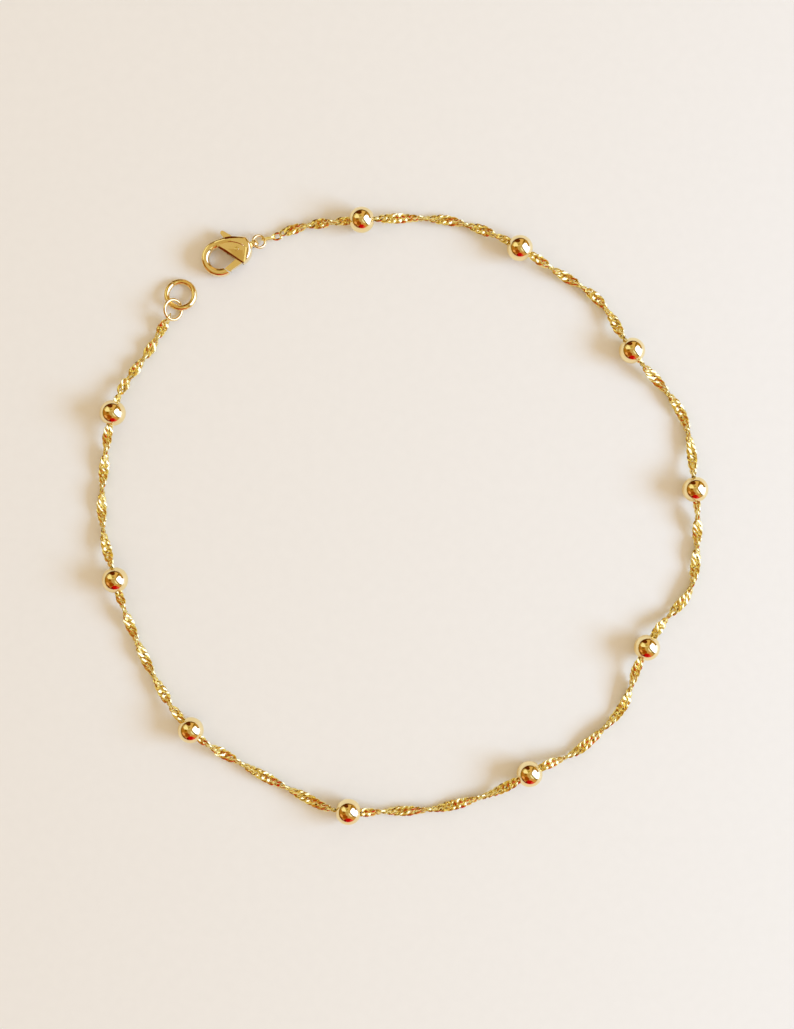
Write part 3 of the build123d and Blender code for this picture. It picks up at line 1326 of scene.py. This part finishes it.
    def hollow(self) -> Bench:
        """Makes the cutter for the hollow between a flat and the clasp's round rear.

        Returns:
            The cutter, for the top and measured from the middle.
        """
        low, high = (Vector((x, y, self.plan.mid - self.depth(Vector((x, y, 0)))))
                     for x, y in self.cove)
        lift = Vector((0, 0, self.cove_radius - self.cove_bite))
        lie = (high - low).normalized().to_track_quat("Z", "Y").to_matrix().to_4x4()
        bar = round_bar(self.cove_radius, self.cove_length, 64)
        bar.place(Matrix.Translation((low + high) / 2 + lift) @ lie)
        end = self.flat_sweep[1]
        reach = self.flat_radius + self.cove_rim
        wall = Bench()
        wall.arc(self.flat_middle, reach, self.cove_start, end, 40)
        wall.path([(self.flat_middle + on_circle(reach, angle)).xy.to_tuple()
                   for angle in (end, self.cove_start)])
        wall.close()
        wall.thicken(-0.5, 3.0)
        return Bench().take(worked(bar.object("hollow"), wall, "INTERSECT"))

    def chamfer(self) -> Bench:
        """Makes the cutter that chamfers the slanting front of a cheek.

        Returns:
            The cutter, for the top and measured from the middle.
        """
        foot, knee = Vector((*self.plan.front_foot, 0)), Vector((*self.plan.front_knee, 0))
        along = (knee - foot).normalized()
        inward = Vector((along.y, -along.x, 0))
        out = (Vector((0, 0, 1)) - inward).normalized()
        lie = Matrix((along, out.cross(along), out)).transposed().to_4x4()
        run_on, half_width = 0.6, 1.2
        made = block(Vector((-run_on, -half_width, 0)),
                     Vector(((knee - foot).length, half_width, 1.0)))
        mitre = Matrix.Identity(4)
        mitre[0][1] = self.mitre
        return made.place(Matrix.Translation(foot + Vector((0, 0, self.front_edge))) @ lie @ mitre)

    def lever_slot(self) -> Bench:
        """Makes the cutter for the lever's slot, which reaches less far on the gate's side.

        Returns:
            The cutter.
        """
        left, right = self.plan.slot_reach
        low, high = self.plan.slot_slant
        beyond = 6
        bench = Bench()
        bench.path([(left, -beyond), (low[0], -beyond), low, high, (right, high[1]),
                    (right, beyond), (left, beyond), (left, -beyond)])
        bench.close()
        half = self.plan.slot_height / 2
        bench.thicken(self.plan.mid - half, self.plan.mid + half)
        return bench

    def facet(self) -> Bench:
        """Makes the cutter for the facet along the back, beside the thumb tab.

        Returns:
            The cutter, for the top and measured from the middle.
        """
        start, end = (Vector((*corner, 0)) for corner in self.facet_edge)
        made = block(Vector((0, 0, 0)), Vector(((end - start).length, 1.0, 1.0)))
        tip = Matrix.Rotation(math.radians(-self.facet_tilt), 4, "X")
        roll = Matrix.Rotation(math.radians(-self.facet_roll), 4, "Y")
        turn = Matrix.Rotation(math.atan2(end.y - start.y, end.x - start.x), 4, "Z")
        height = self.plan.mid - math.sin(math.radians(self.facet_roll)) * (end - start).length
        return made.place(Matrix.Translation(start + Vector((0, 0, height))) @ turn @ roll @ tip)

    def across(self, radius: float, length: float) -> Bench:
        """Makes a round bar across the clasp, through the eye's middle.

        Args:
            radius: the bar's radius.
            length: its length.

        Returns:
            The bench with the bar.
        """
        place = (Matrix.Translation((*self.plan.eye, self.plan.mid))
                 @ Matrix.Rotation(math.pi / 2, 4, "X"))
        return round_bar(radius, length).place(place)

    def eye(self) -> Bench:
        """Makes the eye's lug, with its edges rounded.

        Returns:
            The bench with the lug.
        """
        lug = self.across(self.lug_radius, self.lug_width)
        lug.bevel(sharp, self.lug_round, 4)
        return lug


@dataclass
class ClaspLever(Piece):
    """The clasp's lever: the gate, the hub on the rivet and the thumb tab.

    Attributes:
        plan: the clasp's shared sizes.
        thickness: the lever's height.
        gate_reach: the radius of the arc that ends the gate, about the pivot.
        gate: the gate's outer side, from a point beyond that arc to its root.
        gate_root: the inner end of the side that faces the claw.
        gate_corner: a point beyond the arc that this side runs towards.
        tab: the thumb tab's outline, up to its round tip.
        tab_tip: the middle of that tip.
        tab_round: the tip's radius.
        tab_sweep: the angles between which the tip runs.
        heel: the outline of what fills the mouth of the slot between the gate and the tab.
        hub: the hub's radius.
        ease: the rounding of its edges.
        pin_gap: the gap round the rivet in the hub.
    """

    plan: ClaspPlan = field(default_factory=ClaspPlan)
    thickness: float = 0.8
    gate_reach: float = 3.06
    gate: tuple[tuple[float, float], ...] = (
        (-2.35, -2.5), (-1.95, -2.1), (-0.2, -1.88), (0.7, -0.3))
    gate_root: tuple[float, float] = (-0.3, -0.95)
    gate_corner: tuple[float, float] = (-3.4, -1.66)
    tab: tuple[tuple[float, float], ...] = ((0.14, 2.09), (0.75, 0.1), (-0.75, 0.1), (-0.9, 2.3))
    tab_tip: tuple[float, float] = (-0.72, 2.93)
    tab_round: float = 0.29
    tab_sweep: tuple[float, float] = (31.0, 190.0)
    heel: tuple[tuple[float, float], ...] = (
        (-0.1, -1.25), (-0.65, -1.15), (-0.87, -0.80), (-1.38, 0.06), (-0.9, 0.8), (0.0, 0.65))
    hub: float = 0.75
    ease: float = 0.11
    pin_gap: float = 0.05

    def shape(self) -> bpy.types.Object:
        """Joins the gate, the tab and the hub, bores the hub and rounds the edges.

        Returns:
            The lever's object.
        """
        lever = self.slab([*self.tab, *self._tip()]).object(self.name)
        worked(lever, self.gate_bar(), "UNION")
        worked(lever, self.slab(self.heel), "UNION")
        mid = Matrix.Translation((0, 0, self.plan.mid))
        worked(lever, round_bar(self.hub, self.thickness).place(mid), "UNION")
        bore = round_bar(self.plan.pin_radius + self.pin_gap, 2 * self.thickness)
        worked(lever, bore.place(mid), "DIFFERENCE")
        edges = lever.modifiers.new("edges", "BEVEL")
        edges.width = self.ease
        edges.segments = 3
        edges.limit_method = "ANGLE"
        edges.angle_limit = math.radians(38)
        settled(lever)
        lever.data.transform(self.plan.placing())
        return lever

    def flat_faced(self) -> bool:
        """The lever's two sides look flat."""
        return True

    def _tip(self) -> list[tuple[float, float]]:
        """Draws the tab's round tip.

        Returns:
            Its points, from the left side to the right.
        """
        start, end = self.tab_sweep
        middle = Vector((*self.tab_tip, 0))
        steps = 12
        points = [middle + on_circle(self.tab_round, end + (start - end) * step / steps)
                  for step in range(steps + 1)]
        return [(point.x, point.y) for point in points]

    def slab(self, outline: Sequence[tuple[float, float]]) -> Bench:
        """Makes a straight-sided slab of the lever's thickness.

        Args:
            outline: the slab's corners, in order.

        Returns:
            The bench with the slab.
        """
        bench = Bench()
        bench.path([*outline, outline[0]])
        return self.filled(bench)

    def filled(self, bench: Bench) -> Bench:
        """Fills a drawn outline and gives it the lever's thickness.

        Args:
            bench: the bench with the outline.

        Returns:
            The same bench.
        """
        bench.close()
        bench.thicken(self.plan.mid - self.thickness / 2, self.plan.mid + self.thickness / 2)
        return bench

    def gate_bar(self) -> Bench:
        """Makes the gate, with its end rounded about the pivot.

        Returns:
            The bench with the gate.
        """
        ends = [reach_point(start, towards, self.gate_reach) for start, towards in (
            (self.gate_root, self.gate_corner), (self.gate[1], self.gate[0]))]
        bench = Bench()
        first, last = (math.degrees(math.atan2(end.y, end.x)) for end in ends)
        bench.arc(Vector(), self.gate_reach, first, last, 6)
        bench.path([(ends[1].x, ends[1].y), *self.gate[1:], self.gate_root,
                    (ends[0].x, ends[0].y)])
        return self.filled(bench)


def reach_point(start: tuple[float, float], towards: tuple[float, float], reach: float
                ) -> Vector:
    """Returns where a line leaves a circle about the origin.

    Args:
        start: a point of the line inside the circle.
        towards: a point of the line outside it.
        reach: the circle's radius.

    Returns:
        The point on the circle.
    """
    here = Vector((*start, 0))
    step = Vector((*towards, 0)) - here
    a, b, c = step.length_squared, 2 * here.dot(step), here.length_squared - reach**2
    return here + step * ((-b + math.sqrt(b * b - 4 * a * c)) / (2 * a))


@dataclass
class ClaspPin(Piece):
    """The rivet that the lever turns on, with two low domed ends.

    Attributes:
        plan: the clasp's shared sizes.
        length: the rivet's length, from one cheek's flat to the other's.
        dome: the rounding of its ends.
    """

    plan: ClaspPlan = field(default_factory=ClaspPlan)
    length: float = 1.92
    dome: float = 0.02

    def shape(self) -> bpy.types.Object:
        """Makes the rivet and rounds its ends.

        Returns:
            The rivet's object.
        """
        rivet = round_bar(self.plan.pin_radius, self.length)
        rivet.bevel(sharp, self.dome, 3)
        rivet.place(self.plan.placing() @ Matrix.Translation((0, 0, self.plan.mid)))
        return rivet.object(self.name)


# ---- The studio -----------------------------------------------------------------------
# How far off the rearmost cards hang, and how much nearer each layer is, in metres.
CARD_DISTANCE = 0.75
CARD_SPACING = 0.012
# The power that turns a display's values into light.
DISPLAY_GAMMA = 2.2


@dataclass(frozen=True)
class Card:
    """A sheet hung round the table that only the gold reflects.

    Attributes:
        name: what the sheet stands for.
        seen: the colour that it shows in the gold, from 0 to 255.
        corners: its corners, as azimuth and elevation in degrees.
        layer: its place from the back, as nearer cards hide the ones behind.
        gain: how much brighter it is than its colour.
    """

    name: str
    seen: tuple[int, int, int]
    corners: tuple[tuple[float, float], ...]
    layer: int = 0
    gain: float = 1.0

    def hang(self) -> None:
        """Makes the card, bent round the table, and hangs it."""
        distance = CARD_DISTANCE - CARD_SPACING * self.layer
        sheet = Bench()
        corners = [bmesh.ops.create_vert(sheet.bm, co=direction(*corner) * distance)["vert"][0]
                   for corner in self.corners]
        bmesh.ops.contextual_create(sheet.bm, geom=corners)
        bmesh.ops.triangulate(sheet.bm, faces=sheet.bm.faces)
        bmesh.ops.subdivide_edges(sheet.bm, edges=sheet.bm.edges, cuts=7, use_grid_fill=True)
        for vert in sheet.bm.verts:
            vert.co = vert.co.normalized() * distance
        card = sheet.object(self.name)
        card.data.materials.append(glow(self.name, before_gold(self.seen), self.gain))
        only_reflected(card)


def before_gold(seen: tuple[int, int, int]) -> tuple[float, float, float]:
    """Returns the light that gold turns into a colour, as linear values.

    Args:
        seen: the colour in the gold, from 0 to 255.

    Returns:
        The light's colour.
    """
    red, green, blue = ((value / 255) ** DISPLAY_GAMMA / tone
                        for value, tone in zip(seen, MIRROR_GOLD.tone))
    return red, green, blue


def direction(azimuth: float, elevation: float) -> Vector:
    """Works out the direction of a place in the room.

    Args:
        azimuth: its angle round the table from +X, in degrees.
        elevation: its angle above the table, in degrees.

    Returns:
        The unit vector towards it.
    """
    turn, rise = math.radians(azimuth), math.radians(elevation)
    return Vector((math.cos(rise) * math.cos(turn), math.cos(rise) * math.sin(turn),
                   math.sin(rise)))


def glow(name: str, colour: tuple[float, float, float], strength: float = 1.0
         ) -> bpy.types.Material:
    """Makes a material that gives out an even light.

    Args:
        name: the material's name.
        colour: the light's colour.
        strength: its strength.

    Returns:
        The material.
    """
    material = bpy.data.materials.new(name)
    desk = NodeDesk(material)
    light = desk.add("ShaderNodeEmission")
    light.inputs["Color"].default_value = (*colour, 1.0)
    light.inputs["Strength"].default_value = strength
    desk.finish(light.outputs["Emission"])
    return material


def only_reflected(thing: bpy.types.Object) -> None:
    """Lets only reflections see a thing, and keeps it off the model.

    Args:
        thing: the object.
    """
    thing.visible_camera = False
    thing.visible_diffuse = False
    thing.visible_transmission = False
    thing.visible_shadow = False


CARDS = (
    Card("left_wall", (175, 110, 35),
         ((165, -3), (160, 30), (165, 62), (215, 66), (250, 45), (246, 20), (240, -3))),
    Card("olive_ceiling", (168, 136, 30),
         ((60, 58), (75, 64), (105, 66), (140, 64), (150, 60), (110, 55))),
    Card("pale_ceiling", (210, 174, 98),
         ((62, 66), (80, 77), (120, 79), (150, 72), (140, 65), (105, 67), (75, 65)), layer=1),
    Card("amber_wedge", (218, 165, 80),
         ((58, 14), (60, 60), (80, 66), (98, 56), (92, 14)), layer=1),
    Card("far_door", (88, 45, 8),
         ((84, -3), (86, 12), (100, 17), (128, 15), (150, 6), (160, -3)), layer=2),
    Card("door_frame", (120, 75, 15), ((56, -3), (60, 9), (86, 11), (86, -3)), layer=2),
    Card("dark_lamp", (95, 40, 5),
         ((89, 19), (89, 38), (108, 45), (122, 34), (130, 14), (108, 14)), layer=3),
    Card("left_rim", (142, 98, 20),
         ((150, -3), (152, 9), (175, 12), (204, 10), (208, -3)), layer=3),
    Card("low_shadow", (104, 40, 8), ((222, -3), (223, 11), (241, 11), (241, -3)), layer=6),
    Card("pale_wall", (253, 228, 142),
         ((160, 22), (134, 22), (126, 36), (132, 62), (152, 68), (166, 52), (170, 36)), layer=3),
    Card("brown_post", (134, 84, 8), ((166, 40), (168, 58), (190, 62), (192, 42)), layer=4),
    Card("rust_cupboard", (148, 70, 12),
         ((206, 34), (212, 58), (250, 62), (268, 54), (262, 38), (236, 26)), layer=2),
    Card("amber_lamp", (232, 158, 82),
         ((196, 16), (196, 28), (216, 36), (222, 22), (210, 14)), layer=4),
    Card("dark_shelf", (128, 72, 10),
         ((208, -3), (206, 10), (222, 17), (232, 10), (240, 4), (242, -3)), layer=4),
    Card("pink_spot", (212, 132, 92), ((232, 6), (230, 15), (242, 17), (246, 6)), layer=5),
    Card("red_cloth", (190, 20, 15),
         ((245, -3), (242, 15), (253, 38), (275, 43), (292, 28), (298, -3)), layer=5),
    Card("dark_fold", (125, 18, 5),
         ((243, -3), (243, 16), (250, 28), (257, 14), (257, -3)), layer=6),
    Card("bright_fold", (222, 70, 55),
         ((284, -3), (280, 20), (292, 22), (299, 6), (300, -3)), layer=6),
    Card("amber_floor", (205, 138, 60),
         ((298, -3), (290, 22), (276, 44), (300, 52), (312, 30), (317, -3)), layer=2),
    Card("pale_curtain", (244, 226, 156),
         ((20, 84), (-20, 78), (-40, 58), (-43, 42), (-52, 42), (-62, 58), (-70, 76)), layer=3),
    Card("window_frame", (118, 98, 40),
         ((22, 80), (-14, 77), (-36, 58), (-41, 41), (-43, 20), (-45, -3), (-28, -3), (-30, 20),
          (-20, 50), (5, 66)), layer=4),
    Card("window", (255, 255, 255),
         ((38, 66), (44, 43), (41, 28), (28, 21), (17, 21), (12, 15), (10, -3), (-30, -3),
          (-32, 5), (-33, 20), (-33, 31), (-22, 56), (3, 68)), layer=5, gain=1.9),
    Card("window_wall", (182, 128, 40),
         ((11, -3), (13, 14), (28, 18), (44, 24), (56, 12), (58, -3)), layer=6),
    Card("wall_end", (118, 88, 38), ((10, -3), (12, 12), (20, 12), (20, -3)), layer=7),
    Card("dark_beam", (132, 88, 18), ((50, 10), (54, 52), (62, 56), (64, 12)), layer=7),
)


@dataclass
class Studio:
    """The table, the camera and the soft light from the right.

    Attributes:
        look_at: the point of the table under the camera.
        focus_height: the height at which the picture's scale is true.
        camera_height: how far the camera is above that.
        picture_height: how much of the table the tall side of the picture shows.
        table: the table's radius, in metres.
        table_drop: how far the table's top lies under the anklet.
        paper: the table's colour.
        paper_shade: how bright its darker patches are, as a share of that.
        paper_patch: the size of those patches.
        paper_roughness: how rough it is.
        paper_shine: how strongly it mirrors.
        lamp_from: the window light's azimuth and elevation, in degrees.
        lamp_distance: how far away it hangs, in metres.
        lamp_size: its two sides, in metres.
        lamp_power: its power, in watts.
        lamp_colour: its colour.
        room_light: the colour of the even light from all round.
        backdrop: the colour that shows behind the table.
        walls: the colour that the room's walls show in the gold, from 0 to 255.
        walls_radius: how far away they are, in metres.
        walls_foot: how far under the table's top they end, in metres.
    """

    look_at: tuple[float, float] = (-0.64, 0.13)
    focus_height: float = 1.2
    camera_height: float = 200.0
    picture_height: float = 138.9
    table: float = 0.8
    table_drop: float = 0.01
    paper: tuple[float, float, float] = (0.87, 0.855, 0.835)
    paper_shade: float = 0.985
    paper_patch: float = 1.5
    paper_roughness: float = 0.42
    paper_shine: float = 0.12
    lamp_from: tuple[float, float] = (-8.0, 27.0)
    lamp_distance: float = 0.75
    lamp_size: tuple[float, float] = (0.45, 0.30)
    lamp_power: float = 6.5
    lamp_colour: tuple[float, float, float] = (0.46, 0.68, 0.97)
    room_light: tuple[float, float, float] = (0.78, 0.62, 0.42)
    backdrop: tuple[float, float, float] = (0.88, 0.86, 0.82)
    walls: tuple[int, int, int] = (194, 154, 78)
    walls_radius: float = 0.85
    walls_foot: float = 0.01

    def build(self) -> None:
        """Sets up everything round the anklet."""
        self.camera()
        self.floor()
        self.window_light()
        self.room()
        self.dome()
        for card in CARDS:
            card.hang()
        bpy.context.scene.view_settings.view_transform = "Standard"

    def camera(self) -> None:
        """Hangs the camera straight above the table."""
        lens = bpy.data.cameras.new("camera")
        lens.sensor_width = 36.0
        lens.lens = lens.sensor_width * self.camera_height / self.picture_height
        lens.clip_start = 0.005
        camera = bpy.data.objects.new("camera", lens)
        camera.location = (*(value * MM for value in self.look_at),
                           (self.camera_height + self.focus_height) * MM)
        bpy.context.scene.collection.objects.link(camera)
        bpy.context.scene.camera = camera

    def floor(self) -> None:
        """Lays the round pale table."""
        top = Bench()
        bmesh.ops.create_circle(top.bm, cap_ends=True, segments=96, radius=self.table)
        table = top.object("table")
        table.location.z = -self.table_drop * MM
        table.data.materials.append(self._paper())

    def _paper(self) -> bpy.types.Material:
        """Makes the table's matt surface, very slightly mottled.

        Returns:
            The material.
        """
        material = bpy.data.materials.new("paper")
        desk = NodeDesk(material)
        paper = desk.add("ShaderNodeBsdfPrincipled")
        paper.inputs["Roughness"].default_value = self.paper_roughness
        paper.inputs["Specular IOR Level"].default_value = self.paper_shine
        shade = tuple(value * self.paper_shade for value in self.paper)
        tones = desk.mottle(desk.noise(self.paper_patch, detail=4.0), self.paper, shade)
        desk.wire(tones, paper.inputs["Base Color"])
        desk.finish(paper.outputs["BSDF"])
        return material

    def window_light(self) -> None:
        """Hangs the window's soft light low on the right."""
        aim = direction(*self.lamp_from)
        lamp = bpy.data.lights.new("window_light", "AREA")
        lamp.shape = "RECTANGLE"
        lamp.size, lamp.size_y = self.lamp_size
        lamp.energy = self.lamp_power
        lamp.color = self.lamp_colour
        holder = bpy.data.objects.new("window_light", lamp)
        holder.location = aim * self.lamp_distance
        holder.rotation_euler = aim.to_track_quat("Z", "Y").to_euler()
        holder.visible_glossy = False
        bpy.context.scene.collection.objects.link(holder)

    def room(self) -> None:
        """Lights the table evenly from all round, with a plain backdrop for the camera."""
        world = bpy.data.worlds.new("room")
        bpy.context.scene.world = world
        desk = NodeDesk(world)
        light = desk.add("ShaderNodeBackground")
        light.inputs["Color"].default_value = (*self.room_light, 1.0)
        behind = desk.add("ShaderNodeBackground")
        behind.inputs["Color"].default_value = (*self.backdrop, 1.0)
        seen = desk.add("ShaderNodeLightPath")
        choice = desk.add("ShaderNodeMixShader")
        desk.wire(seen.outputs["Is Camera Ray"], choice.inputs["Fac"])
        desk.wire(light.outputs["Background"], choice.inputs[1])
        desk.wire(behind.outputs["Background"], choice.inputs[2])
        desk.finish(choice.outputs["Shader"], kind="ShaderNodeOutputWorld")

    def dome(self) -> None:
        """Closes the room above the table with warm walls that only the gold reflects."""
        room = Bench()
        bmesh.ops.create_uvsphere(room.bm, u_segments=48, v_segments=24, radius=self.walls_radius)
        whole = [*room.bm.verts, *room.bm.edges, *room.bm.faces]
        bmesh.ops.bisect_plane(room.bm, geom=whole, plane_co=(0, 0, -self.walls_foot),
                               plane_no=(0, 0, -1), clear_outer=True)
        walls = room.object("room_walls")
        walls.data.materials.append(glow("room_walls", before_gold(self.walls)))
        only_reflected(walls)


# ---- The whole anklet -----------------------------------------------------------------
def anklet() -> list[Piece]:
    """Lists the anklet's pieces.

    Returns:
        The pieces, in the order they are made.
    """
    plan = ClaspPlan()
    to_link = node_middle("end_link") - node_middle("catch_ring")
    toward_link = math.degrees(math.atan2(to_link.y, to_link.x))
    pieces: list[Piece] = [
        TwistedChain("twisted_chain", "chain", Slot.CHAIN, BRIGHT_CUT_GOLD),
        WireRing("split_catch_ring", "catch_ring", Slot.RING, WIRE_GOLD, radius=1.84, wire=0.76,
                 lie=turned(toward_link, "Y", -10), seam=0.05, seam_angle=-120, step_off=0.06),
        WireRing("thin_end_link", "end_link", Slot.RING, WIRE_GOLD, radius=1.35, wire=0.42,
                 lie=turned(260.8, "X", -43)),
        WireRing("clasp_jump_ring", "clasp_ring", Slot.RING, WIRE_GOLD, radius=0.82, wire=0.38,
                 lie=turned(plan.heading, "Y", 18.8)),
        ClaspBody("clasp_casting", "clasp_body", Slot.CLASP, CAST_GOLD, plan=plan),
        ClaspLever("clasp_gate_lever", "clasp_lever", Slot.CLASP, CAST_GOLD, Body.LEVER,
                   plan=plan),
        ClaspPin("clasp_rivet", "clasp_pin", Slot.CLASP, CAST_GOLD, plan=plan),
    ]
    for number, (middle, span) in enumerate(zip(bead_middles(), SPANS), start=1):
        pieces.append(BallBead(f"ball_bead_{number:02d}", f"bead_{number:02d}", Slot.BEAD,
                               MIRROR_GOLD, middle=middle, heading=span.bead_heading))
    return pieces


def main() -> None:
    """Builds the studio and every piece."""
    logging.basicConfig(level=logging.INFO, format="%(name)s: %(message)s")
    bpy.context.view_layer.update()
    Studio().build()
    for piece in anklet():
        piece.make()


if __name__ == "__main__":
    main()
